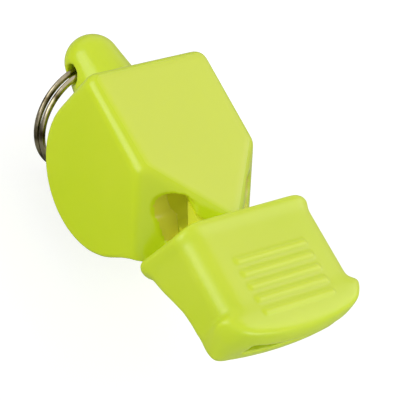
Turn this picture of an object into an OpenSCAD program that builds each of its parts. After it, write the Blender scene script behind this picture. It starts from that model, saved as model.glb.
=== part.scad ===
// Pealess sports whistle: a welded two-shell body with three air chambers,
// a soft sleeve over the mouthpiece and a split ring in the rear lug.
// X runs forward to the mouthpiece and Z is up. The origin lies on the flat
// deck, above the axis of the round lower chamber.

/* [Body] */
// Width across the two flat sides
body_w = 22; // [20:0.5:25]
// Outer radius of the round lower chamber, seen from the side
drum_r = 11.8; // [11:0.1:12.6]
// Depth of the round chamber's axis below the deck
drum_depth = 10; // [9.6:0.1:11]
// Distance from the drum axis forward to the shoulders of the deck
shoulder_x = 3.4; // [2:0.2:4.6]
// Angle in plan between the long axis and each tapered cheek
taper_angle = 40.3; // [38:0.5:43]
// Angle by which each tapered cheek leans back from upright
cheek_lean = 28; // [25:0.5:31]
// Radius of the rounded edges round the deck
deck_edge_r = 2.4; // [1.8:0.1:2.6]
// Radius of the deck's rear edge
rear_edge_r = 2; // [1.5:0.1:2.3]
// Small bevel along the drum's side edges
drum_bevel = 0.5; // [0.3:0.1:0.8]
// Radius of the hollow between the drum and the mouthpiece
throat_r = 10; // [8:0.5:11]
// Angle below the horizontal, from the drum axis, where that hollow starts
throat_angle = 26; // [24:1:28]
// Wall thickness of the shell
wall = 1.4; // [1.2:0.1:1.6]

/* [Top cover] */
// Depth of the joint line between cover and lower shell
joint_depth = 2.4; // [2.2:0.1:2.8]
// Thickness of the deck plate inside the cover's rim
plate_t = 1.5; // [1.2:0.1:1.7]
// Height of the locating ribs that hang inside the shell
locator_h = 0.9; // [0.6:0.1:1.4]
// Thickness of the locating ribs
locator_t = 0.8; // [0.6:0.1:1]

/* [Chamber divider] */
// Depth of the upper chambers' floor below the deck
floor_depth = 7.2; // [6.6:0.1:7.4]
// Thickness of that floor
floor_t = 1.2; // [1:0.1:1.3]
// Width of the ledge in the shell that carries the floor
ledge_w = 0.7; // [0.5:0.1:1]
// Thickness of the rib between the left and right upper chambers
rib_t = 1.2; // [1:0.1:1.6]
// Distance of the left chamber's end wall behind the drum axis
left_stop = 8; // [6:0.5:8.6]
// Distance of the right chamber's end wall behind the drum axis
right_stop = 4.5; // [3:0.5:5.5]

/* [Mouthpiece] */
// Distance from the drum axis to the step where the mouthpiece starts
neck_x = 15.3; // [15:0.1:15.8]
// Distance from the drum axis to the mouthpiece's front end
mouth_x = 31.8; // [31.2:0.1:32.4]
// Width of the mouthpiece under its sleeve
mouth_w = 17.6; // [17:0.2:18.4]
// Depth of the mouthpiece at its front end
mouth_front_h = 5.2; // [5:0.1:5.5]
// Depth of the mouthpiece at its rear end
mouth_rear_h = 8.9; // [8.6:0.1:9.2]
// Width of each upper air slot
upper_slot_w = 3.2; // [2.6:0.1:3.4]
// Height of the air slots
slot_h = 1; // [0.9:0.05:1.1]
// Width of the lower air slot
lower_slot_w = 7.6; // [6:0.2:8]

/* [Side windows] */
// Distance from the drum axis forward to the middle of the window's round end
window_x = 10.4; // [10.2:0.1:10.6]
// Depth of that middle below the deck
window_depth = 2.95; // [2.9:0.05:3.2]
// Radius of the window's round end
window_r = 1.95; // [1.7:0.05:2]
// Radius of the window's front end
window_front_r = 2.3; // [2.1:0.1:2.4]
// Distance from the window's round end forward to its front end
window_len = 3.1; // [2.8:0.1:3.3]
// Angle of the window's slanted lower edge below the horizontal
window_slope = 37; // [34:1:39]
// Distance from the middle plane to the window's inner wall
window_inner = 4.6; // [4.4:0.1:4.7]

/* [Rear lug] */
// Distance from the drum axis back to the middle of the lug's round tip
lug_x = 18.4; // [17.6:0.2:19.4]
// Depth of the lug's axis below the deck
lug_depth = 11; // [10.4:0.1:11.4]
// Radius of the lug's round tip
lug_tip_r = 4.15; // [3.8:0.05:4.5]
// Angle by which the lug widens towards the body
lug_flare = 9; // [6:0.5:11]
// Distance from the drum axis back to the cross hole
hole_x = 17.6; // [17.2:0.1:18]
// Depth of the cross hole below the deck
hole_depth = 11.8; // [11.4:0.1:12]
// Diameter of the cross hole
hole_d = 3.0; // [3:0.1:3.4]
// Width of the bevel round each mouth of the hole
hole_bevel = 0.3; // [0.2:0.1:0.5]

/* [Split ring] */
// Outer diameter of the ring
ring_od = 17.8; // [17:0.2:20]
// Diameter of the ring's wire
wire_d = 0.9; // [0.8:0.05:0.95]
// Gap between the ring's two turns
turn_gap = 0.45; // [0.42:0.01:0.5]
// Angle by which the ring hangs forward of straight down
hang_angle = 30; // [20:1:36]

/* [Mouth sleeve] */
// Width of the sleeve along its length
sleeve_w = 23.8; // [23:0.2:24.4]
// Height of the sleeve above the deck
sleeve_rise = 2.3; // [2:0.1:2.6]
// Wall of the sleeve under the mouthpiece's rear end
sleeve_under_rear = 2.4; // [2.1:0.1:2.6]
// Wall of the sleeve under the mouthpiece's front end
sleeve_under_front = 1.4; // [1.3:0.1:1.7]
// Distance from the drum axis to the sleeve's rear face
sleeve_rear = 15.4; // [15.4:0.1:16]
// Length of the sleeve past the front end of the mouthpiece
sleeve_over = 0.85; // [0.8:0.05:1.2]
// How far the rolled rear rim stands out
rim_proud = 0.35; // [0.2:0.05:0.5]
// How far the rear rim's upper corners lie ahead of its middle
rim_ahead = 0.3; // [0:0.1:0.6]
// How far the rear rim's lower corners reach back behind its upper ones
rim_sweep = 1.2; // [0.8:0.1:1.4]
// How far the front lip stands out
lip_proud = 0.75; // [0.6:0.05:0.9]
// Share by which the lip is wider at its top corners, and narrower at its lower ones
lip_flare = 0.09; // [0.04:0.01:0.11]
// How far the upper lip bows forward in the middle
lip_bow = 2.4; // [2:0.1:2.8]
// How far the lip's side ends fall back
lip_end_back = 1.8; // [1.4:0.1:2]
// Depth of the upper lip's foremost line below the deck
bulge_depth = 0.9; // [0.6:0.1:1.2]
// Radius of the sleeve's upper long edges
sleeve_top_r = 3.2; // [2.4:0.1:3.6]
// Radius of the sleeve's lower long edges
sleeve_low_r = 1; // [0.8:0.1:1.5]
// Radius of those edges at the rear rim
rim_low_r = 2.4; // [1.8:0.1:2.6]
// How far the rear rim's underside lies ahead of its top
rim_tuck = 0.8; // [0.4:0.1:1]
// Number of grip ribs on each face
grip_ribs = 5; // [3:1:5]
// Distance from the drum axis to the first grip rib
rib_x = 22.9; // [22.4:0.1:23.2]
// Spacing of the grip ribs
rib_pitch = 2.03; // [1.9:0.01:2.1]
// Length of each grip rib
rib_len = 13.6; // [10:0.2:14]
// Radius of each grip rib
rib_r = 0.7; // [0.6:0.05:0.8]

/* [Hidden] */

plastic = [0.78, 0.86, 0.20];
inner_plastic = [0.72, 0.80, 0.18];
soft_plastic = [0.80, 0.88, 0.25];
steel = [0.70, 0.69, 0.65];

$fn = 96;
slip = 0.05;                       // gap between pieces that seat on each other
past = 1;                          // how far a cut runs past the face it opens
half_w = body_w / 2;
inner_w = body_w - 2 * wall;
drum_z = -drum_depth;
joint_z = -joint_depth;
floor_z = -floor_depth;
ledge_z = floor_z - floor_t;

// Each cheek is a plane: its outward normal, and its distance from the origin
cheek_n = [sin(taper_angle) * cos(cheek_lean), cos(taper_angle) * cos(cheek_lean), sin(cheek_lean)];
cheek_d = cheek_n * [shoulder_x, half_w, 0];
function cheek_y(x, z, inset = 0) = (cheek_d - inset - cheek_n[0] * x - cheek_n[2] * z) / cheek_n[1];
function cheek_x(y, z, inset = 0) = (cheek_d - inset - cheek_n[1] * y - cheek_n[2] * z) / cheek_n[0];

// The hollow under the throat is a circle that touches the drum from outside
throat_reach = drum_r + throat_r;
throat_c = [throat_reach * cos(throat_angle), drum_z - throat_reach * sin(throat_angle)];

// The mouthpiece's lower outline turns level here
level_x = neck_x + 0.55 * (mouth_x - neck_x);

// Both airways run level from the tip to ramp_x, then slope down to the body
ramp_x = 22;
ramp_end_x = 10.8;
upper_drop = 3;
block_t = 0.8;                     // least thickness of the block between the airways
lower_top = joint_z - block_t;
lower_slope = (ledge_z - lower_top) / (ramp_end_x - ramp_x);
function ramp_z(x) = lower_top + lower_slope * (x - ramp_x);
ramp_drop = slot_h * sqrt(1 + lower_slope * lower_slope);
ramp_t = 1.1;                      // upright thickness of the block over the lower ramp
block_half_w = window_inner + upper_slot_w;
nose_x = window_x;
floor_lip_x = neck_x - 0.7;
window_end_x = window_x + window_len;
blade_z = ledge_z - 1.1;           // top of the blade that splits the lower jet

lug_z = -lug_depth;
hole_r = hole_d / 2;
hole_half = lug_tip_r / cos(lug_flare) + (lug_x - hole_x) * tan(lug_flare);   // half of the hole's length
lug_base_x = -drum_r + wall;
lug_len = lug_x + lug_base_x;
lug_base_r = lug_tip_r / cos(lug_flare) + lug_len * tan(lug_flare);

// The ring's turns bend inside the straight hole, so its centre is set back
// by half of that bend, which centres the wire in the hole
ring_r = (ring_od - wire_d) / 2;
ring_pitch = wire_d + turn_gap;
ring_bend = ring_r - sqrt(ring_r * ring_r - hole_half * hole_half);
ring_reach = ring_r - ring_bend / 2;

module side_extrude(width) {
    rotate([90, 0, 0]) linear_extrude(width, center = true) children();
}

module both_sides() {
    children();
    mirror([0, 1, 0]) children();
}

// Outer form of the welded body

module body_side_outline() {
    neck_h = mouth_rear_h - 0.5;
    low_z = drum_z - drum_r - past;
    trim_from = 2 * throat_angle;      // angle from which the drum is cut free of the hull round it
    trim_r = drum_r - slip;
    difference() {
        translate([-drum_r - past, low_z]) square([drum_r + past + neck_x, past - low_z]);
        difference() {
            polygon([[0, drum_z], [-low_z / tan(trim_from), drum_z + low_z], [neck_x + past, drum_z + low_z],
                     [neck_x + past, throat_c[1]], throat_c]);
            translate([0, drum_z]) circle(trim_r, $fn = 120);
        }
        translate(throat_c) circle(throat_r, $fn = 120);
    }
    translate([0, -neck_h]) square([neck_x + past, neck_h + past]);
}

module corner_ball(x, y, z, r = deck_edge_r) {
    translate([x, y, z]) sphere(r, $fn = 32);
}

module body_block() {
    inset_y = half_w - deck_edge_r;
    cheek_low_z = drum_z - 1.5;
    cheek_end_x = neck_x + 2;
    hull() {
        for (side = [-1, 1]) {
            corner_ball(-drum_r + rear_edge_r, side * (half_w - rear_edge_r), -rear_edge_r, rear_edge_r);
            corner_ball(cheek_x(inset_y, -deck_edge_r, deck_edge_r), side * inset_y, -deck_edge_r);
            corner_ball(cheek_x(inset_y, cheek_low_z, deck_edge_r), side * inset_y, cheek_low_z);
            corner_ball(cheek_end_x, side * cheek_y(cheek_end_x, cheek_low_z, deck_edge_r), cheek_low_z);
        }
        corner_ball(cheek_x(0, -deck_edge_r, deck_edge_r), 0, -deck_edge_r);
        intersection() {
            translate([0, 0, drum_z]) rotate([90, 0, 0]) union() {
                cylinder(r = drum_r, h = body_w - 2 * drum_bevel, center = true, $fn = 120);
                cylinder(r = drum_r - drum_bevel, h = body_w, center = true, $fn = 120);
            }
            below(drum_z);
        }
    }
}

module mouthpiece_core() {
    side_extrude(mouth_w)
        polygon([[neck_x - past, 0], [mouth_x, 0], [mouth_x, -mouth_front_h], [level_x, -mouth_front_h],
                 [neck_x, -mouth_rear_h], [neck_x - past, -mouth_rear_h]]);
}

module body_form() {
    intersection() {
        body_block();
        side_extrude(body_w + past) body_side_outline();
    }
    intersection() {
        mouthpiece_core();
        translate([neck_x, -body_w, -body_w]) cube([body_w, 2 * body_w, 2 * body_w]);
    }
}

module below(z) {
    reach = 3 * body_w;
    translate([-reach, -reach, z - 2 * reach]) cube(2 * reach);
}

// Hollows inside the body

// Plan of the upper chambers, drawn in from the shell's wall by gap
module chamber_plan(gap = 0) {
    edge = inner_w / 2 - gap;
    inset = wall + gap;
    shoulder = cheek_x(edge, joint_z, inset);
    front = cheek_x(window_inner, joint_z, inset);
    polygon([[-drum_r + inset, -edge], [shoulder, -edge], [front, -window_inner],
             [front, window_inner], [shoulder, edge], [-drum_r + inset, edge]]);
}

module lower_hollow() {
    intersection() {
        translate([0, 0, drum_z]) rotate([90, 0, 0])
            cylinder(r = drum_r - wall, h = inner_w - 2 * ledge_w, center = true, $fn = 120);
        below(ledge_z + slip / 2);
    }
}

module side_window() {
    mid = [window_x, -window_depth];
    touch = mid - window_r * [sin(window_slope), cos(window_slope)];
    front = [window_end_x - window_front_r, mid[1] + window_r - window_front_r];
    both_sides() translate([0, -window_inner, 0]) rotate([90, 0, 0]) linear_extrude(half_w) {
        translate(mid) circle(window_r);
        translate(front) circle(window_front_r);
        polygon([touch, [window_end_x, touch[1] - (window_end_x - touch[0]) * tan(window_slope)],
                 [window_end_x, front[1]], [front[0], mid[1] + window_r], [mid[0], mid[1] + window_r]]);
    }
}

// Side outline between the two ramps of an upper airway, from the rear end to the tip
module upper_airway_outline(low) {
    polygon([[neck_x, joint_z - upper_drop + slot_h], [ramp_x, joint_z + slot_h],
             [mouth_x + past, joint_z + slot_h], [mouth_x + past, joint_z - low],
             [ramp_x, joint_z - low], [neck_x, joint_z - upper_drop - low]]);
}

// Way from each upper airway through the neck into the window, open up to the joint
module upper_outlets() {
    exit_z = joint_z - upper_drop;
    both_sides() {
        translate([window_end_x - slip, window_inner, exit_z - slip])
            cube([neck_x - window_end_x + 2 * slip, upper_slot_w, slot_h]);
        translate([window_end_x - slip, window_inner, exit_z])
            cube([neck_x - window_end_x, upper_slot_w, upper_drop + past]);
    }
}

module upper_airways() {
    both_sides() translate([0, -window_inner, 0]) rotate([90, 0, 0])
        linear_extrude(upper_slot_w) upper_airway_outline(past);
}

module lower_airway() {
    chamber_x = drum_r - wall;
    blade_tip = [chamber_x, blade_z];
    blade_foot = throat_c + throat_r * [cos(140), sin(140)];
    below_foot = blade_foot + 0.1 * (blade_foot - blade_tip);
    side_extrude(lower_slot_w)
        polygon([[chamber_x - past, ledge_z + slip / 2], [ramp_end_x, ledge_z + slip / 2],
                 [ramp_x, lower_top + slip / 2], [mouth_x + past, lower_top + slip / 2],
                 [mouth_x + past, lower_top - slot_h],
                 [ramp_x, lower_top - slot_h], [floor_lip_x, ramp_z(floor_lip_x) - ramp_drop],
                 [floor_lip_x, below_foot[1]], below_foot, blade_tip, [chamber_x - past, blade_z]]);
}

// Underside of the divider's front half, from the chambers to the tip of the mouthpiece
function block_underside(lift) = [
    [ramp_end_x - 2 * past, ledge_z + lift], [ramp_end_x, ledge_z + lift],
    [ramp_x, lower_top + lift], [mouth_x + past, lower_top + lift]];

module past_neck() {
    intersection() {
        children();
        translate([neck_x, -half_w, -body_w]) cube([body_w, body_w, body_w]);
    }
}

// Bed in the shell that takes the divider's front half
module block_bed() {
    outline = concat(block_underside(0), [[mouth_x + past, joint_z + past],
                                          [ramp_end_x - 2 * past, joint_z + past]]);
    side_extrude(2 * (window_inner + slip)) polygon(outline);
    past_neck() side_extrude(2 * (block_half_w + slip)) polygon(outline);
}

// Lower shell: drum, side walls, lug and the lower half of the mouthpiece

// The cone stays a little inside the sphere's tangent, so the two meet in a clean line
module lug() {
    tuck = 0.02;
    translate([lug_base_x, 0, lug_z]) rotate([0, -90, 0]) {
        cylinder(r1 = lug_base_r - tuck, r2 = lug_tip_r * cos(lug_flare) - tuck,
                 h = lug_len + lug_tip_r * sin(lug_flare));
        translate([0, 0, lug_len]) sphere(lug_tip_r);
    }
}

module lug_hole() {
    translate([-hole_x, 0, -hole_depth]) rotate([90, 0, 0]) {
        cylinder(r = hole_r, h = body_w, center = true);
        for (end = [-1, 1])
            translate([0, 0, end * hole_half]) mirror([0, 0, end < 0 ? 1 : 0])
                translate([0, 0, -hole_bevel])
                    cylinder(r1 = hole_r, r2 = hole_r + 2 * hole_bevel, h = 2 * hole_bevel);
    }
}

module lower_shell() {
    color(plastic) difference() {
        union() {
            intersection() {
                body_form();
                below(joint_z);
            }
            lug();
        }
        translate([0, 0, ledge_z]) linear_extrude(floor_depth + floor_t) chamber_plan();
        lower_hollow();
        side_window();
        block_bed();
        upper_outlets();
        lower_airway();
        lug_hole();
    }
}

// Top cover: deck plate, rim and the roof of the mouthpiece

module locating_ribs() {
    start = -right_stop + rib_t + 4 * slip;
    both_sides() translate([start, inner_w / 2 - slip - locator_t, joint_z - locator_h])
        cube([shoulder_x - start, locator_t, locator_h + joint_depth - plate_t + slip]);
}

module top_cover() {
    root = 0.3;
    roof_end_x = ramp_x - slot_h * (ramp_x - neck_x) / upper_drop;
    color(plastic) {
        difference() {
            body_form();
            below(joint_z);
            intersection() {
                translate([0, 0, joint_z - past]) linear_extrude(past + joint_depth - plate_t) chamber_plan();
                translate([-body_w, -half_w, -half_w]) cube([body_w + nose_x - past, body_w, body_w]);
            }
            side_window();
            upper_airways();
        }
        locating_ribs();
        both_sides() translate([0, -window_inner - slip, 0]) rotate([90, 0, 0])
            linear_extrude(upper_slot_w - 2 * slip)
                polygon([[neck_x, joint_z + root], [neck_x, joint_z - upper_drop + slot_h],
                         [roof_end_x, joint_z], [roof_end_x - past, joint_z + root]]);
    }
}

// Chamber divider: floor, middle rib, end walls and the block between the airways

module divider_floor() {
    translate([0, 0, ledge_z + slip]) linear_extrude(floor_t - slip) intersection() {
        chamber_plan(slip);
        translate([-body_w, -half_w]) square([body_w + ramp_end_x - past, body_w]);
    }
}

module divider_ribs() {
    root_z = floor_z - floor_t / 2;
    wall_h = -plate_t - slip - root_z;
    wall_len = inner_w / 2 - 2 * slip;
    translate([-drum_r + wall + 2 * slip, -rib_t / 2, root_z])
        cube([drum_r - wall - 2 * slip + nose_x - past, rib_t, wall_h]);
    translate([-left_stop, 0, root_z]) cube([rib_t, wall_len, wall_h]);
    translate([-right_stop, -wall_len, root_z]) cube([rib_t, wall_len, wall_h]);
}

module divider_block() {
    foot_x = neck_x - 1.4;
    intersection() {
        union() {
            side_extrude(2 * window_inner)
                polygon(concat(block_underside(slip), [[mouth_x + past, joint_z], [nose_x, joint_z],
                        [foot_x, ramp_z(foot_x) + ramp_t], [ramp_end_x, floor_z],
                        [ramp_end_x - 2 * past, floor_z]]));
            past_neck() side_extrude(2 * block_half_w)
                polygon(concat(block_underside(slip), [[mouth_x + past, joint_z], [ramp_x, joint_z],
                        [neck_x, joint_z - upper_drop], [ramp_end_x, joint_z - upper_drop]]));
        }
        translate([0, -half_w, -body_w]) cube([mouth_x, body_w, body_w]);
    }
}

module chamber_divider() {
    color(inner_plastic) {
        divider_floor();
        divider_ribs();
        divider_block();
    }
}

// Mouth sleeve: a soft sleeve with a rolled rear rim, grip ribs and a front lip

rim_r = 0.9;
rim_len = 2.8 * rim_r;             // from the rear face to where the rim has run out
lip_r = 1.4;
lip_rise_len = 1.2;
sleeve_len = mouth_x + sleeve_over - sleeve_rear;
under_rear = -mouth_rear_h - sleeve_under_rear;
under_front = -mouth_front_h - sleeve_under_front;
lip_start = sleeve_len - 3.6;
level_start = 0.6 * sleeve_len;    // from here to the lip the underside is level
lip_height = sleeve_rise - under_front;
bulge_z = -bulge_depth;
rim_fade = 6;                      // length over which the rear rim's shift dies out

// Height of a round bead of radius r, as a share, at distance t from its middle
function bead(t, r) = abs(t) < r ? sqrt(1 - (t / r) * (t / r)) : 0;
// Smooth step from 0 to 1
function ease(t) = let (u = min(1, max(0, t))) u * u * (3 - 2 * u);
// How far rim and lip stand out of the plain outline at distance t from the rear face
function rim_out(t) =
    rim_proud * (1 - ease((t - rim_r) / (rim_len - rim_r)))
        - (t < rim_r ? rim_r * (1 - bead(t - rim_r, rim_r)) : 0);
function lip_out(t) = lip_proud * ease((t - lip_start) / lip_rise_len);
function lip_round(t) = t > sleeve_len - lip_r ? lip_r * (1 - bead(t - sleeve_len + lip_r, lip_r)) : 0;
function under_z(t) = under_front + (under_rear - under_front) * pow(max(0, 1 - t / level_start), 1.3);
// Share of the bow at height z: full on the bulge, less at the top edge, least on the lower lip
function bow_share(z) = z > bulge_z ? 1 - 0.35 * pow((z - bulge_z) / (sleeve_rise - bulge_z), 2)
                                    : 1 - 0.6 * ease((bulge_z - z) / (bulge_z - under_front));
// Shift of the rear rim along its sides: ahead at the upper corners, back at the lower ones
function rim_shift(y, z) =
    let (side = ease((abs(y) - sleeve_w / 2 + rim_low_r) / rim_low_r),
         from = sleeve_rise - sleeve_top_r, to = under_rear + rim_low_r)
    side * (rim_ahead - rim_sweep * min(1, max(0, (from - z) / (from - to))))
        + rim_tuck * ease((to - z) / (to - under_rear));
// Bow of the front at a point, with the lip's top corners drawn back
function bow_x(y, z, half) = lip_bow * (1 - pow(y / half, 2)) * bow_share(z)
    - lip_end_back * pow(y / half, 8) * (z - under_front) / lip_height;

// Distances of the sections from the rear face. The last ones all lie on the front
// face, and each is drawn in towards the bulge by its share
sleeve_stops = concat([for (a = [0 : 22.5 : 90]) rim_r * (1 - cos(a))],
                      [for (k = [1 : 3]) rim_r + (rim_len - rim_r) * k / 3],
                      [for (k = [1 : 5]) rim_len + (lip_start - rim_len) * k / 5],
                      [for (k = [1 : 4]) lip_start + lip_rise_len * k / 4],
                      [for (a = [0 : 15 : 90]) sleeve_len - lip_r * (1 - sin(a))]);
face_shares = [0.8, 0.6, 0.4, 0.2, 0.05];
corner_steps = 5;
flat_steps = 6;

function corner_arc(mid, r, from) =
    [for (k = [0 : corner_steps]) let (a = from + 90 * k / corner_steps) mid + r * [cos(a), sin(a)]];
function flat_run(half, z, dir) =
    [for (k = [1 : flat_steps - 1]) [dir * half * (1 - 2 * k / flat_steps), z]];

// One rounded cross-section of the sleeve, as points [y, z]. Its first and last
// points lie on one side, and so do the two in the middle of the row
function rounded_section(half, top, low, top_r, low_r) = concat(
    corner_arc([half - top_r, top - top_r], top_r, 0),
    flat_run(half - top_r, top, 1),
    corner_arc([-half + top_r, top - top_r], top_r, 90),
    corner_arc([-half + low_r, low + low_r], low_r, 180),
    flat_run(half - low_r, low, -1),
    corner_arc([half - low_r, low + low_r], low_r, 270));

// Radius of the lower long edges at distance t from the rear face
function low_r(t) = sleeve_low_r + (rim_low_r - sleeve_low_r) * (1 - ease(t / rim_fade));
// The lip spreads towards its top corners and draws in towards its lower ones
function lip_spread(t, z, low) =
    lip_flare * ease((t - lip_start) / lip_rise_len) * (2 * (z - low) / (sleeve_rise - low) - 1);

function sleeve_section(t, share = 1) =
    let (side_out = rim_out(t) + lip_out(t) - lip_round(t), half = sleeve_w / 2 + side_out,
         full_half = sleeve_w / 2 + lip_proud,
         top = sleeve_rise + 0.6 * rim_out(t) + 0.1 * lip_out(t) - 0.6 * lip_round(t),
         low = under_z(t) - 0.6 * side_out,
         forward = ease((t - lip_start) / (sleeve_len - lip_start)), fade = 1 - ease(t / rim_fade))
    [for (q = rounded_section(half, top, low, sleeve_top_r, low_r(t)))
        let (z = bulge_z + share * (q[1] - bulge_z), y = q[0] * (1 + lip_spread(t, q[1], low)))
        [sleeve_rear + t + forward * bow_x(y, z, full_half) + fade * rim_shift(y, z), y, z]];

// Skin over a row of sections that all have the same, even number of points
module lofted(sections) {
    n = len(sections[0]);
    end = (len(sections) - 1) * n;
    polyhedron(
        points = [for (s = sections) for (q = s) q],
        faces = concat(
            [for (k = [0 : n / 2 - 2])
                for (tri = [[k, k + 1, n - 1 - k], [k + 1, n - 2 - k, n - 1 - k]]) tri],
            [for (k = [0 : n / 2 - 2]) for (tri = [[end + k, end + n - 1 - k, end + k + 1],
                                                  [end + k + 1, end + n - 1 - k, end + n - 2 - k]]) tri],
            [for (a = [0 : end - 1]) let (b = a % n == n - 1 ? a - n + 1 : a + 1)
                for (tri = [[a, a + n, b], [b, a + n, b + n]]) tri]),
        convexity = 6);
}

module grip_rib(x, z) {
    half = rib_len / 2 - rib_r;
    translate([x, 0, z]) rotate([90, 0, 0]) rotate_extrude($fn = 24) intersection() {
        union() {
            translate([0, -half]) square([rib_r, 2 * half]);
            for (end = [-half, half]) translate([0, end]) circle(rib_r, $fn = 24);
        }
        translate([0, -rib_len]) square([rib_r, 2 * rib_len]);
    }
}

module mouth_sleeve() {
    sunk = rib_r / 2;
    slot_margin = 0.1;
    core_w = mouth_w + 2 * slip;
    bore_x = sleeve_rear - rim_sweep - past;
    slot_end_x = mouth_x + sleeve_over + lip_bow + past;
    color(soft_plastic) difference() {
        union() {
            lofted(concat([for (t = sleeve_stops) sleeve_section(t)],
                          [for (share = face_shares) sleeve_section(sleeve_len, share)]));
            for (k = [0 : grip_ribs - 1]) {
                grip_rib(rib_x + k * rib_pitch, sleeve_rise - sunk);
                grip_rib(rib_x + k * rib_pitch, under_front + sunk);
            }
        }
        side_extrude(core_w)
            polygon([[bore_x, slip], [mouth_x + slip, slip], [mouth_x + slip, -mouth_front_h - slip],
                     [level_x, -mouth_front_h - slip], [neck_x, -mouth_rear_h - slip],
                     [bore_x, -mouth_rear_h - slip]]);
        side_extrude(2 * (block_half_w + slot_margin))
            polygon([[mouth_x, joint_z + slot_h + slot_margin],
                     [slot_end_x, joint_z + slot_h + slot_margin],
                     [slot_end_x, lower_top - slot_h - slot_margin],
                     [mouth_x, lower_top - slot_h - slot_margin]]);
    }
}

// Split ring: one wire of two turns that lie side by side, with a step where its ends meet

step_span = 34;                    // angle over which the wire steps from one turn to the other
end_back = step_span / 2 + 4;      // angle between the step's middle and each wire end
ring_sides = 12;
ring_step = 7.5;
wire_angles = [for (a = [end_back : ring_step : 720 - end_back]) a];

function turn_side(a) = ring_pitch * (0.5 - ease((a - 360 + step_span / 2) / step_span));
function ring_point(a) = [ring_r * cos(a), ring_r * sin(a), turn_side(a)];
function wire_ring(a) =
    let (rise = (turn_side(a + 0.5) - turn_side(a - 0.5)) / (ring_r * PI / 180),
         lean = atan(rise), c = ring_point(a),
         out = [cos(a), sin(a), 0],
         up = [sin(a) * sin(lean), -cos(a) * sin(lean), cos(lean)])
    [for (k = [0 : ring_sides - 1])
        let (b = 360 * k / ring_sides) c + wire_d / 2 * (out * cos(b) + up * sin(b))];

// Least gap between stretches of wire that are more than a quarter turn apart
least_gap = min([for (i = [0 : len(wire_angles) - 1]) for (j = [i + 12 : 1 : len(wire_angles) - 1])
    norm(ring_point(wire_angles[i]) - ring_point(wire_angles[j]))]) - wire_d;
echo(split_ring_least_gap = least_gap);

module split_ring() {
    color(steel) translate([-hole_x, 0, -hole_depth]) rotate([0, -hang_angle, 0])
        translate([0, 0, -ring_reach]) rotate([0, 90, 0]) rotate([0, 0, 62])
            lofted([for (a = wire_angles) wire_ring(a)]);
}

lower_shell();
top_cover();
chamber_divider();
mouth_sleeve();
split_ring();
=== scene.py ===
import math
import bmesh
import bpy
from mathutils import Matrix, Vector
from mathutils.bvhtree import BVHTree


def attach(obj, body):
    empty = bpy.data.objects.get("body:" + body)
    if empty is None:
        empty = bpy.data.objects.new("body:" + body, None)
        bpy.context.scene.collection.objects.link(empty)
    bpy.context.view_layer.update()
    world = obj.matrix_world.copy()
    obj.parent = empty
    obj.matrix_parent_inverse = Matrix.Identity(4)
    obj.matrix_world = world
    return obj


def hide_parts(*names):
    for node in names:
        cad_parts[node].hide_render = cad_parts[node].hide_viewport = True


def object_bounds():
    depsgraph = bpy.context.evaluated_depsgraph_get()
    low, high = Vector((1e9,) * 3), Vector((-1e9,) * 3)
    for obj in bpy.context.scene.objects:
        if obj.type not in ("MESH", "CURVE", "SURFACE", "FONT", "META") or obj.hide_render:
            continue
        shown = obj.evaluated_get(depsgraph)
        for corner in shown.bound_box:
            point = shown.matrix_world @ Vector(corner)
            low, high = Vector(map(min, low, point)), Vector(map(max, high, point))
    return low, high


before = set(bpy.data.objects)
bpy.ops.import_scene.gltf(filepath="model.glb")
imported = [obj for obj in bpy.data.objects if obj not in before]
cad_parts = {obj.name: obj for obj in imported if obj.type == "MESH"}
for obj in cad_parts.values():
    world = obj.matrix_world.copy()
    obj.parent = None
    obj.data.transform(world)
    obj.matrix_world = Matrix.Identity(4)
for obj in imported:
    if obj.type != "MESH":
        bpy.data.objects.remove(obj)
cadLow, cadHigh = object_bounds()
mm = 0.001

# Camera at the photograph's viewing angle: a long lens, rolled so the mouthpiece points down to the right
cameraView = {
    "place": (0.119645, -0.228008, 0.261612),
    "right": (0.47072, 0.75732, 0.45264),
    "down": (0.82991, -0.20595, -0.51848),
    "forward": (-0.29944, 0.61971, -0.72546),
    "lens": 234.117,
    "sensor": 36.0,
    "clip": (0.01, 20.0),
}


def addCamera(view):
    data = bpy.data.cameras.new("productCamera")
    data.sensor_fit = "HORIZONTAL"
    data.sensor_width = view["sensor"]
    data.lens = view["lens"]
    data.clip_start, data.clip_end = view["clip"]
    cam = bpy.data.objects.new("productCamera", data)
    right, down, forward = (Vector(view[k]) for k in ("right", "down", "forward"))
    turn = Matrix((right, -down, -forward)).transposed()
    cam.matrix_world = Matrix.Translation(Vector(view["place"])) @ turn.to_4x4()
    bpy.context.scene.collection.objects.link(cam)
    bpy.context.scene.camera = cam


addCamera(cameraView)
print("camera placed")


# Material building blocks
def newMaterial(name):
    mat = bpy.data.materials.new(name)
    mat.use_nodes = True
    nodes = mat.node_tree.nodes
    shader = nodes["Principled BSDF"]
    return mat, nodes, mat.node_tree.links, shader


def objectNoise(nodes, links, scale, detail, rough=0.5):
    coords = nodes.new("ShaderNodeTexCoord")
    noise = nodes.new("ShaderNodeTexNoise")
    noise.inputs["Scale"].default_value = scale
    noise.inputs["Detail"].default_value = detail
    noise.inputs["Roughness"].default_value = rough
    links.new(coords.outputs["Object"], noise.inputs["Vector"])
    return noise


def ramp(nodes, links, source, low, high, fromValue, toValue):
    span = nodes.new("ShaderNodeMapRange")
    span.inputs["From Min"].default_value = fromValue
    span.inputs["From Max"].default_value = toValue
    span.inputs["To Min"].default_value = low
    span.inputs["To Max"].default_value = high
    links.new(source, span.inputs["Value"])
    return span.outputs["Result"]


def twoTone(nodes, links, share, toneA, toneB):
    mix = nodes.new("ShaderNodeMix")
    mix.data_type = "RGBA"
    links.new(share, mix.inputs["Factor"])
    mix.inputs["A"].default_value = (*toneA, 1)
    mix.inputs["B"].default_value = (*toneB, 1)
    return mix.outputs["Result"]


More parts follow.
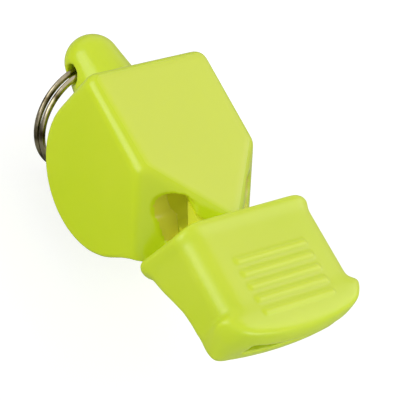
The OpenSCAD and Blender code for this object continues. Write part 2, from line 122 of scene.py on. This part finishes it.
def addBump(nodes, links, shader, height, strength, distance):
    bump = nodes.new("ShaderNodeBump")
    bump.inputs["Strength"].default_value = strength
    bump.inputs["Distance"].default_value = distance
    links.new(height, bump.inputs["Height"])
    links.new(bump.outputs["Normal"], shader.inputs["Normal"])


# What all the plastics share: slow flow marks in an even pigment, fine rub marks and a faint orange peel
anyPlastic = {
    "flowScale": 60,
    "flowSpan": (0.35, 0.65),
    "rubScale": 540,
    "rubDetail": 4,
    "rubRough": 0.6,
    "rubSpan": (0.1, 0.9),
    "peelStrength": 0.25,
    "index": 1.5,
    "scatterRadius": (1.0, 1.0, 0.15),
    "scatterScale": 0.0015,
}

# Glossy injection-moulded plastic of the body
bodyPlastic = {
    **anyPlastic,
    "toneA": (0.600, 0.740, 0.010),
    "toneB": (0.630, 0.752, 0.016),
    "roughLow": 0.205,
    "roughHigh": 0.265,
    "peelScale": 500,
    "peelDepth": 0.000006,
    "scatter": 0.4,
    # paler tone of the deck: a painted sheen, the reflection of the light above painted into its colour
    "deckPaintedSheen": (0.665, 0.765, 0.070),
    "deckRough": 0.42,
    "deckFade": (-0.0003, -0.00005),
    # colour of the painted glow that stands in for light soaking through the walls, used only by the inside
    # materials
    "glow": (0.95, 0.92, 0.10),
}


# The flat deck has a satin mould face and its rounded edges are glossy. The deck's colour is also mixed to a paler
# tone: a painted sheen, the light above reflected in the deck painted into its colour
def satinDeckAndPaintedSheen(nodes, links, tone, rough, look):
    coords = nodes.new("ShaderNodeTexCoord")
    apart = nodes.new("ShaderNodeSeparateXYZ")
    links.new(coords.outputs["Object"], apart.inputs["Vector"])
    share = ramp(nodes, links, apart.outputs["Z"], 0, 1, *look["deckFade"])
    mixes = []
    for kind, start, value in (("RGBA", tone, (*look["deckPaintedSheen"], 1)), ("FLOAT", rough, look["deckRough"])):
        mix = nodes.new("ShaderNodeMix")
        mix.data_type = kind
        sockets = [socket for socket in mix.inputs if socket.enabled]  # factor, start and end of this kind
        links.new(share, sockets[0])
        links.new(start, sockets[1])
        sockets[2].default_value = value
        mixes.append(next(socket for socket in mix.outputs if socket.enabled))
    return mixes


def mouldedPlastic(name, look):
    mat, nodes, links, shader = newMaterial(name)
    flow = objectNoise(nodes, links, look["flowScale"], 2)
    share = ramp(nodes, links, flow.outputs["Fac"], 0, 1, *look["flowSpan"])
    tone = twoTone(nodes, links, share, look["toneA"], look["toneB"])
    rub = objectNoise(nodes, links, look["rubScale"], look["rubDetail"], look["rubRough"])
    rough = ramp(nodes, links, rub.outputs["Fac"], look["roughLow"], look["roughHigh"], *look["rubSpan"])
    # the deck gets its satin roughness, and a painted sheen in its colour
    if "deckRough" in look:
        tone, rough = satinDeckAndPaintedSheen(nodes, links, tone, rough, look)
    links.new(tone, shader.inputs["Base Color"])
    links.new(rough, shader.inputs["Roughness"])
    peel = objectNoise(nodes, links, look["peelScale"], 1)
    addBump(nodes, links, shader, peel.outputs["Fac"], look["peelStrength"], look["peelDepth"])
    shader.inputs["IOR"].default_value = look["index"]
    shader.inputs["Subsurface Weight"].default_value = look["scatter"]
    shader.inputs["Subsurface Radius"].default_value = look["scatterRadius"]
    shader.inputs["Subsurface Scale"].default_value = look["scatterScale"]
    # painted glow: a weak emission standing in for light that soaks through the walls
    if "paintedGlow" in look:
        shader.inputs["Emission Color"].default_value = (*look["glow"], 1)
        shader.inputs["Emission Strength"].default_value = look["paintedGlow"]
    return mat


# Soft elastomer of the sleeve: a little paler and much silkier than the body
sleeveGrip = {
    **anyPlastic,
    "toneA": (0.600, 0.735, 0.022),
    "toneB": (0.630, 0.750, 0.034),
    "roughLow": 0.29,
    "roughHigh": 0.36,
    "peelScale": 400,
    "peelDepth": 0.000003,
    "scatter": 0.5,
}

# Nickel-plated spring steel: bright plating with fine scratches and a warm tarnish in patches
ringNickel = {
    "tint": (0.47, 0.41, 0.28),
    "tarnish": (0.07, 0.05, 0.022),
    "patchScale": 260,
    "patchDetail": 3,
    "patchSpan": (0.38, 0.6),
    "scratchScale": 2400,
    "scratchDetail": 5,
    "scratchRough": 0.7,
    "scratchSpan": (0.3, 0.7),
    "scratchStrength": 0.08,
    "scratchDepth": 0.00001,
    "roughLow": 0.08,
    "roughHigh": 0.2,
}


def platedSteel(name, look):
    mat, nodes, links, shader = newMaterial(name)
    patch = objectNoise(nodes, links, look["patchScale"], look["patchDetail"])
    share = ramp(nodes, links, patch.outputs["Fac"], 0, 1, *look["patchSpan"])
    links.new(twoTone(nodes, links, share, look["tint"], look["tarnish"]), shader.inputs["Base Color"])
    scratch = objectNoise(nodes, links, look["scratchScale"], look["scratchDetail"], look["scratchRough"])
    rough = ramp(nodes, links, scratch.outputs["Fac"], look["roughLow"], look["roughHigh"], *look["scratchSpan"])
    links.new(rough, shader.inputs["Roughness"])
    addBump(nodes, links, shader, scratch.outputs["Fac"], look["scratchStrength"], look["scratchDepth"])
    shader.inputs["Metallic"].default_value = 1.0
    return mat


# Painted light and shade inside the body: the inside faces get a pale tone and a weak glow, a painted stand-in for
# light that soaks through the walls; the window walls get a darker olive tone, painted shade, with a fainter glow;
# the divider gets a yellower tone and the faintest glow
insidePaintedGlow = {**bodyPlastic, "toneA": (0.95, 0.92, 0.06), "toneB": (0.96, 0.93, 0.07), "paintedGlow": 0.20}
windowPaintedShadeAndGlow = {**bodyPlastic, "toneA": (0.60, 0.58, 0.045), "toneB": (0.62, 0.59, 0.05), "paintedGlow": 0.06}
dividerPaintedLight = {**bodyPlastic, "toneA": (0.68, 0.72, 0.04), "toneB": (0.70, 0.74, 0.045), "paintedGlow": 0.04}
bodyMat = mouldedPlastic("glossyShellPlastic", bodyPlastic)
insidePaintedGlowMat = mouldedPlastic("insidePaintedGlow", insidePaintedGlow)
windowPaintedShadeAndGlowMat = mouldedPlastic("windowWallPaintedShadeAndGlow", windowPaintedShadeAndGlow)
dividerPaintedLightMat = mouldedPlastic("dividerPaintedLight", dividerPaintedLight)
sleeveMat = mouldedPlastic("softSleeveElastomer", sleeveGrip)
nickelMat = platedSteel("platedRingSteel", ringNickel)
print("materials built")


weldGap = 2e-6  # corners of a CAD mesh that lie closer than this are one


# A smooth step from 0 to 1
def easeStep(t):
    t = min(1.0, max(0.0, t))
    return t * t * (3 - 2 * t)


def mergedCopy(node, name):
    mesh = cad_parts[node].data.copy()
    mesh.name = name
    work = bmesh.new()
    work.from_mesh(mesh)
    bmesh.ops.remove_doubles(work, verts=work.verts, dist=weldGap)
    work.to_mesh(mesh)
    work.free()
    piece = bpy.data.objects.new(name, mesh)
    bpy.context.scene.collection.objects.link(piece)
    return piece


def bakeModifiers(piece):
    graph = bpy.context.evaluated_depsgraph_get()
    mesh = bpy.data.meshes.new_from_object(piece.evaluated_get(graph))
    piece.modifiers.clear()
    old = piece.data
    piece.data = mesh
    bpy.data.meshes.remove(old)


def voxelSkin(piece, size):
    remesh = piece.modifiers.new("evenSkin", "REMESH")
    remesh.mode = "VOXEL"
    remesh.voxel_size = size
    remesh.use_smooth_shade = True
    bakeModifiers(piece)


# Evens out a skin; share(co), where given, says how much of it a point takes
def relax(piece, rounds, strength=0.5, share=None):
    work = bmesh.new()
    work.from_mesh(piece.data)
    work.verts.ensure_lookup_table()
    places = [v.co.copy() for v in work.verts]
    moving = []
    for v in work.verts:
        pull = strength * (share(v.co) if share else 1.0)
        if pull:
            moving.append((v.index, pull, [e.other_vert(v).index for e in v.link_edges]))
    for _ in range(rounds):
        fresh = []
        for i, pull, near in moving:
            middle = sum((places[j] for j in near), Vector()) / len(near)
            fresh.append((i, places[i].lerp(middle, pull)))
        for i, co in fresh:
            places[i] = co
    for v, co in zip(work.verts, places):
        v.co = co
    work.to_mesh(piece.data)
    work.free()
    piece.data.shade_smooth()


def dress(piece, mat, body, slot, *nodes):
    piece.data.materials.clear()
    piece.data.materials.append(mat)
    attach(piece, body)
    if nodes:
        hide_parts(*nodes)


def joinInto(target, extras):
    work = bmesh.new()
    work.from_mesh(target.data)
    for extra in extras:
        work.from_mesh(extra.data)
    work.to_mesh(target.data)
    work.free()
    for extra in extras:
        bpy.data.objects.remove(extra)


# Where the inside of the body is, in mm: so far below the sides, the cheeks and the drum's face. A side window is a
# box there, and elsewhere a face counts as inside if a ray from it meets another wall.
# These faces get painted light and shade: the window walls a painted shade with a faint glow, the other inside
# faces a painted glow
insideLook = {
    "depth": 0.3,
    "side": 11.0,
    "shoulder": 3.4,
    "taper": 40.3,
    "lean": 28.0,
    "drum": 11.8,
    "drumZ": -10.0,
    "windowX": (6.0, 13.4),
    "windowZ": (-10.6, -0.9),
    "windowFoot": 4.7,
    "lift": 0.05,
    "reach": 24.0,
}
outerSlot, insidePaintedGlowSlot, windowPaintedShadeAndGlowSlot = range(3)  # order of the body's materials


def liesDeep(p, look):
    taper, lean = math.radians(look["taper"]), math.radians(look["lean"])
    cheek = Vector((math.sin(taper) * math.cos(lean), math.cos(taper) * math.cos(lean), math.sin(lean)))
    spot = Vector((p.x, abs(p.y), p.z))
    below = -cheek.dot(spot - Vector((look["shoulder"], look["side"], 0)))
    inDrum = spot.x > 0 or math.hypot(spot.x, spot.z - look["drumZ"]) < look["drum"] - look["depth"]
    return min(below, look["side"] - spot.y, -spot.z) > look["depth"] and inDrum


def inWindow(p, look):
    inX = look["windowX"][0] < p.x < look["windowX"][1]
    inZ = look["windowZ"][0] < p.z < look["windowZ"][1]
    return inX and inZ and abs(p.y) > look["windowFoot"]


def facesWall(tree, p, normal, look):
    start = (p + normal * look["lift"]) * mm
    return tree.ray_cast(start, normal, look["reach"] * mm)[0] is not None


# Paints the inside faces: a painted glow deep inside, a painted shade with a faint glow on the window walls
def paintLightAndShadeInside(piece, paintedGlowMat, paintedShadeAndGlowMat, look):
    piece.data.materials.append(paintedGlowMat)
    piece.data.materials.append(paintedShadeAndGlowMat)
    work = bmesh.new()
    work.from_mesh(piece.data)
    tree = BVHTree.FromBMesh(work)
    for f in work.faces:
        p = f.calc_center_median() / mm
        f.material_index = outerSlot
        if liesDeep(p, look):
            if inWindow(p, look):
                f.material_index = windowPaintedShadeAndGlowSlot
            elif facesWall(tree, p, f.normal, look):
                f.material_index = insidePaintedGlowSlot
    print("inside faces", sum(f.material_index != outerSlot for f in work.faces))
    work.to_mesh(piece.data)
    work.free()


# The two welded mouldings of the body as one skin, with a mould's soft edges and no weld line, as in the photo
shellLook = {"voxel": 0.275 * mm, "rounds": 3}
weldedBody = mergedCopy("lower_shell", "weldedBody")
joinInto(weldedBody, [mergedCopy("top_cover", "coverSkin")])
voxelSkin(weldedBody, shellLook["voxel"])
relax(weldedBody, shellLook["rounds"])
dress(weldedBody, bodyMat, "whistle", "body_plastic", "lower_shell", "top_cover")
# the inside faces get a painted glow and the window walls a painted shade
paintLightAndShadeInside(weldedBody, insidePaintedGlowMat, windowPaintedShadeAndGlowMat, insideLook)
print("body skin", len(weldedBody.data.polygons), "faces")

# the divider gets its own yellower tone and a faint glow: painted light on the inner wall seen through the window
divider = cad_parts["chamber_divider"]
divider.data.materials.clear()
divider.data.materials.append(dividerPaintedLightMat)
print("body dressed")

# Ribs of the sleeve, in mm: one capsule bar, repeated along X on the top and the underside
gripRibs = {
    "count": 5,
    "first": 22.9,
    "pitch": 2.03,
    "length": 13.9,
    "radius": 0.85,
    "topZ": 1.78,
    "lowZ": -6.0,
    "segments": 24,
    "rings": 14,
}


def ribTree(look):
    tree = bpy.data.node_groups.new("gripRibRow", "GeometryNodeTree")
    face = tree.interface
    face.new_socket("Geometry", in_out="OUTPUT", socket_type="NodeSocketGeometry")
    face.new_socket("Count", in_out="INPUT", socket_type="NodeSocketInt")
    for label in ("Pitch", "Length", "Radius"):
        face.new_socket(label, in_out="INPUT", socket_type="NodeSocketFloat")
    face.new_socket("Finish", in_out="INPUT", socket_type="NodeSocketMaterial")
    nodes, links = tree.nodes, tree.links
    entry = nodes.new("NodeGroupInput")
    leave = nodes.new("NodeGroupOutput")
    row = nodes.new("GeometryNodeMeshLine")
    step = nodes.new("ShaderNodeCombineXYZ")
    links.new(entry.outputs["Pitch"], step.inputs["X"])
    links.new(entry.outputs["Count"], row.inputs["Count"])
    links.new(step.outputs["Vector"], row.inputs["Offset"])
    half = nodes.new("ShaderNodeMath")
    half.operation = "MULTIPLY_ADD"                # half of the length, less one radius
    half.inputs[1].default_value = 0.5
    less = nodes.new("ShaderNodeMath")
    less.operation = "MULTIPLY"
    less.inputs[1].default_value = -1
    links.new(entry.outputs["Length"], half.inputs[0])
    links.new(entry.outputs["Radius"], less.inputs[0])
    links.new(less.outputs["Value"], half.inputs[2])
    ball = nodes.new("GeometryNodeMeshUVSphere")
    ball.inputs["Segments"].default_value = look["segments"]
    ball.inputs["Rings"].default_value = look["rings"]
    links.new(entry.outputs["Radius"], ball.inputs["Radius"])
    spot = nodes.new("GeometryNodeInputPosition")
    apart = nodes.new("ShaderNodeSeparateXYZ")
    links.new(spot.outputs["Position"], apart.inputs["Vector"])
    side = nodes.new("ShaderNodeMath")
    side.operation = "SIGN"
    links.new(apart.outputs["Y"], side.inputs[0])
    push = nodes.new("ShaderNodeMath")
    push.operation = "MULTIPLY"
    links.new(side.outputs["Value"], push.inputs[0])
    links.new(half.outputs["Value"], push.inputs[1])
    shift = nodes.new("ShaderNodeCombineXYZ")
    links.new(push.outputs["Value"], shift.inputs["Y"])
    stretch = nodes.new("GeometryNodeSetPosition")  # pulls the ball's two halves apart into a capsule
    links.new(ball.outputs["Mesh"], stretch.inputs["Geometry"])
    links.new(shift.outputs["Vector"], stretch.inputs["Offset"])
    copies = nodes.new("GeometryNodeInstanceOnPoints")
    links.new(row.outputs["Mesh"], copies.inputs["Points"])
    links.new(stretch.outputs["Geometry"], copies.inputs["Instance"])
    real = nodes.new("GeometryNodeRealizeInstances")
    paint = nodes.new("GeometryNodeSetMaterial")
    links.new(copies.outputs["Instances"], real.inputs["Geometry"])
    links.new(real.outputs["Geometry"], paint.inputs["Geometry"])
    links.new(entry.outputs["Finish"], paint.inputs["Material"])
    links.new(paint.outputs["Geometry"], leave.inputs["Geometry"])
    return tree


def setInput(modifier, label, value):
    for item in modifier.node_group.interface.items_tree:
        if item.item_type == "SOCKET" and item.in_out == "INPUT" and item.name == label:
            modifier[item.identifier] = value


def ribRow(name, look, z):
    piece = bpy.data.objects.new(name, bpy.data.meshes.new(name))
    bpy.context.scene.collection.objects.link(piece)
    modifier = piece.modifiers.new("ribs", "NODES")
    modifier.node_group = ribTree(look)
    setInput(modifier, "Count", look["count"])
    setInput(modifier, "Pitch", look["pitch"] * mm)
    setInput(modifier, "Length", look["length"] * mm)
    setInput(modifier, "Radius", look["radius"] * mm)
    setInput(modifier, "Finish", sleeveMat)
    bakeModifiers(piece)
    for v in piece.data.vertices:
        v.co += Vector((look["first"] * mm, 0, z * mm))
    return piece


# A round wire swept along a chain of edges
def wireTree():
    tree = bpy.data.node_groups.new("woundWire", "GeometryNodeTree")
    face = tree.interface
    face.new_socket("Geometry", in_out="OUTPUT", socket_type="NodeSocketGeometry")
    face.new_socket("Geometry", in_out="INPUT", socket_type="NodeSocketGeometry")
    face.new_socket("Radius", in_out="INPUT", socket_type="NodeSocketFloat")
    face.new_socket("Sides", in_out="INPUT", socket_type="NodeSocketInt")
    face.new_socket("Finish", in_out="INPUT", socket_type="NodeSocketMaterial")
    nodes, links = tree.nodes, tree.links
    entry = nodes.new("NodeGroupInput")
    leave = nodes.new("NodeGroupOutput")
    toCurve = nodes.new("GeometryNodeMeshToCurve")
    profile = nodes.new("GeometryNodeCurvePrimitiveCircle")
    sweep = nodes.new("GeometryNodeCurveToMesh")
    sweep.inputs["Fill Caps"].default_value = True
    real = nodes.new("GeometryNodeRealizeInstances")
    paint = nodes.new("GeometryNodeSetMaterial")
    links.new(entry.outputs["Geometry"], toCurve.inputs["Mesh"])
    links.new(entry.outputs["Sides"], profile.inputs["Resolution"])
    links.new(entry.outputs["Radius"], profile.inputs["Radius"])
    links.new(toCurve.outputs["Curve"], sweep.inputs["Curve"])
    links.new(profile.outputs["Curve"], sweep.inputs["Profile Curve"])
    links.new(sweep.outputs["Mesh"], real.inputs["Geometry"])
    links.new(real.outputs["Geometry"], paint.inputs["Geometry"])
    links.new(entry.outputs["Finish"], paint.inputs["Material"])
    links.new(paint.outputs["Geometry"], leave.inputs["Geometry"])
    return tree


def sweptWire(name, path, radius, sides, mat):
    piece = bpy.data.objects.new(name, path)
    bpy.context.scene.collection.objects.link(piece)
    modifier = piece.modifiers.new("wire", "NODES")
    modifier.node_group = wireTree()
    setInput(modifier, "Radius", radius * mm)
    setInput(modifier, "Sides", sides)
    setInput(modifier, "Finish", mat)
    bakeModifiers(piece)
    return piece


# The soft sleeve: ribs and skin grown into one and evened out, with the ribs and the rear rim spared (places in mm)
sleeveLook = {
    "voxel": 0.2 * mm,
    "rounds": 14,
    "ribShare": 0.12,
    "ribX": (21.6, 32.0),
    "ribHalf": 7.4,
    "rimShare": 0.3,
    "rimX": (16.3, 18.0),
}


def plainShare(co):
    p = co / mm
    if sleeveLook["ribX"][0] < p.x < sleeveLook["ribX"][1] and abs(p.y) < sleeveLook["ribHalf"]:
        return sleeveLook["ribShare"]
    rimStart, rimEnd = sleeveLook["rimX"]
    past = easeStep((p.x - rimStart) / (rimEnd - rimStart))
    return sleeveLook["rimShare"] + (1 - sleeveLook["rimShare"]) * past


# The two ends of the lip step out of the sleeve's sides, and that step is softened more
lipEnds = {"rounds": 30, "across": (7.5, 2.5), "rise": (28.0, 1.2), "fall": (32.6, 1.2)}


def endShare(co):
    p = co / mm
    across, rise, fall = lipEnds["across"], lipEnds["rise"], lipEnds["fall"]
    beside = easeStep((abs(p.y) - across[0]) / across[1])
    return beside * easeStep((p.x - rise[0]) / rise[1]) * easeStep((fall[0] - p.x) / fall[1])


# The upper lip lies back by a hair and the lower one comes out, so that the mouth's line shows between them
lipLook = {
    "from": 30.5,
    "run": 2.5,
    "back": 0.05,
    "half": 11.0,
    "top": 1.6,
    "full": -0.6,
    "low": -4.5,
    "end": -5.3,
    "out": 0.1,
    "outHalf": 9.5,
}


def partLips(piece, look):
    for v in piece.data.vertices:
        p = v.co / mm
        if p.x > look["from"] and abs(p.y) < look["half"]:
            span = easeStep((p.x - look["from"]) / look["run"])
            back = look["back"] * (1 - (p.y / look["half"]) ** 2)
            out = look["out"] * max(0, 1 - (p.y / look["outHalf"]) ** 2) * (p.z < look["full"])
            below = easeStep((look["top"] - p.z) / (look["top"] - look["full"]))
            above = 1 - easeStep((look["low"] - p.z) / (look["low"] - look["end"]))
            level = below * above
            v.co.x -= span * (back * level - out * (1 - level)) * mm


sleeve = mergedCopy("mouth_sleeve", "softMouthSleeve")
joinInto(sleeve, [ribRow("topRibs", gripRibs, gripRibs["topZ"]), ribRow("lowRibs", gripRibs, gripRibs["lowZ"])])
voxelSkin(sleeve, sleeveLook["voxel"])
partLips(sleeve, lipLook)
relax(sleeve, sleeveLook["rounds"], share=plainShare)
relax(sleeve, lipEnds["rounds"], share=endShare)
dress(sleeve, sleeveMat, "whistle", "sleeve_elastomer", "mouth_sleeve")
print("sleeve", len(sleeve.data.polygons), "faces")

# The split ring, wound from one wire along the path of the CAD ring: sizes in mm, angles in degrees
ringLook = {
    "lugX": -17.6,
    "lugZ": -11.8,
    "hang": 30.0,
    "outer": 17.8,
    "wire": 0.9,
    "gap": 0.45,
    "holeHalf": 4.33,
    "startTurn": 62.0,
    "step": 34.0,
    "endBack": 4.0,
    "pointStep": 4,
    "sides": 24,
}


def ringPath(look):
    radius = (look["outer"] - look["wire"]) / 2
    pitch = look["wire"] + look["gap"]
    bend = radius - math.sqrt(radius ** 2 - look["holeHalf"] ** 2)
    reach = radius - bend / 2
    back = look["step"] / 2 + look["endBack"]
    hang = math.radians(look["hang"])
    down = Vector((math.sin(hang), 0, -math.cos(hang)))
    normal = Vector((-math.cos(hang), 0, -math.sin(hang)))
    centre = Vector((look["lugX"], 0, look["lugZ"])) + down * reach
    points = []
    angle = back
    while angle <= 720 - back:
        turned = math.radians(angle + look["startTurn"])
        side = pitch * (0.5 - easeStep((angle - 360 + look["step"] / 2) / look["step"]))
        across = Vector((0, 1, 0)) * math.sin(turned)
        along = down * math.cos(turned)
        points.append((centre + (across + along) * radius + normal * side) * mm)
        angle += look["pointStep"]
    return points


def woundRing(look):
    points = ringPath(look)
    mesh = bpy.data.meshes.new("splitRingWire")
    mesh.from_pydata([tuple(p) for p in points], [(i, i + 1) for i in range(len(points) - 1)], [])
    piece = sweptWire("splitRingWire", mesh, look["wire"] / 2, look["sides"], nickelMat)
    piece.data.shade_smooth()
    dress(piece, nickelMat, "ring", "ring_steel", "split_ring")
    return piece


splitRing = woundRing(ringLook)
print("ring wound", len(splitRing.data.polygons), "faces")

# Studio: pale floor under the lowest point, a broad box behind and above, a strip at the near side, a front fill
studio = {
    "aim": (0.0, 0.0, -0.008),
    "floorSize": 3.0,
    "floorGap": 0.0002,
    "floorRough": 0.9,
    "floorTone": 0.4,
    "floorGlow": 0.72,
    "worldDim": 0.52,
}
lamps = {
    "overheadBox": {"place": (0.09, 0.36, 0.362), "size": (0.44, 0.50), "power": 1.3, "tint": (1.0, 0.93, 0.98)},
    "sideStrip": {"place": (-0.14, -0.42, 0.14), "size": (0.5, 0.32), "power": 1.25, "tint": (0.97, 1.0, 1.0)},
    "frontFill": {"place": (0.46, 0.02, 0.0), "size": (0.3, 0.16), "power": 0.9, "tint": (0.88, 1.0, 0.85)},
}


def areaLamp(name, look, aim):
    data = bpy.data.lights.new(name, "AREA")
    data.shape = "RECTANGLE"
    data.size, data.size_y = look["size"]
    data.energy = look["power"]
    data.color = look["tint"]
    lamp = bpy.data.objects.new(name, data)
    lamp.location = look["place"]
    lamp.rotation_euler = (Vector(aim) - lamp.location).to_track_quat("-Z", "Y").to_euler()
    bpy.context.scene.collection.objects.link(lamp)


# 1 on the rays that see white, which are those of camera, gloss and transmission, and 0 on all others
def seenWhite(nodes, links):
    path = nodes.new("ShaderNodeLightPath")
    first = nodes.new("ShaderNodeMath")
    first.operation = "MAXIMUM"
    second = nodes.new("ShaderNodeMath")
    second.operation = "MAXIMUM"
    links.new(path.outputs["Is Camera Ray"], first.inputs[0])
    links.new(path.outputs["Is Glossy Ray"], first.inputs[1])
    links.new(first.outputs["Value"], second.inputs[0])
    links.new(path.outputs["Is Transmission Ray"], second.inputs[1])
    return second.outputs["Value"]


def buildWorld(dim):
    world = bpy.data.worlds.new("studioWorld")
    bpy.context.scene.world = world
    world.use_nodes = True
    nodes, links = world.node_tree.nodes, world.node_tree.links
    sky = nodes["Background"]
    sky.inputs["Color"].default_value = (1, 1, 1, 1)
    level = nodes.new("ShaderNodeMapRange")
    level.inputs["To Min"].default_value = dim
    level.inputs["To Max"].default_value = 1.0
    links.new(seenWhite(nodes, links), level.inputs["Value"])
    links.new(level.outputs["Result"], sky.inputs["Strength"])


def buildFloor(look):
    size = look["floorSize"]
    z = cadLow[2] - look["floorGap"]
    corners = [(-size, -size, z), (size, -size, z), (size, size, z), (-size, size, z)]
    mesh = bpy.data.meshes.new("studioFloor")
    mesh.from_pydata(corners, [], [(0, 1, 2, 3)])
    floor = bpy.data.objects.new("studioFloor", mesh)
    bpy.context.scene.collection.objects.link(floor)
    mat, nodes, links, shader = newMaterial("paleFloor")
    tone = look["floorTone"]
    shader.inputs["Base Color"].default_value = (tone, tone, tone, 1)
    shader.inputs["Roughness"].default_value = look["floorRough"]
    shader.inputs["Emission Color"].default_value = (1, 1, 1, 1)
    glow = nodes.new("ShaderNodeMath")             # lifts the floor to white for the camera alone
    glow.operation = "MULTIPLY"
    glow.inputs[1].default_value = look["floorGlow"]
    path = nodes.new("ShaderNodeLightPath")
    links.new(path.outputs["Is Camera Ray"], glow.inputs[0])
    links.new(glow.outputs["Value"], shader.inputs["Emission Strength"])
    mesh.materials.append(mat)


buildWorld(studio["worldDim"])
buildFloor(studio)
for lampName, lampLook in lamps.items():
    areaLamp(lampName, lampLook, studio["aim"])
bpy.context.scene.view_settings.view_transform = "Standard"
print("studio lit")
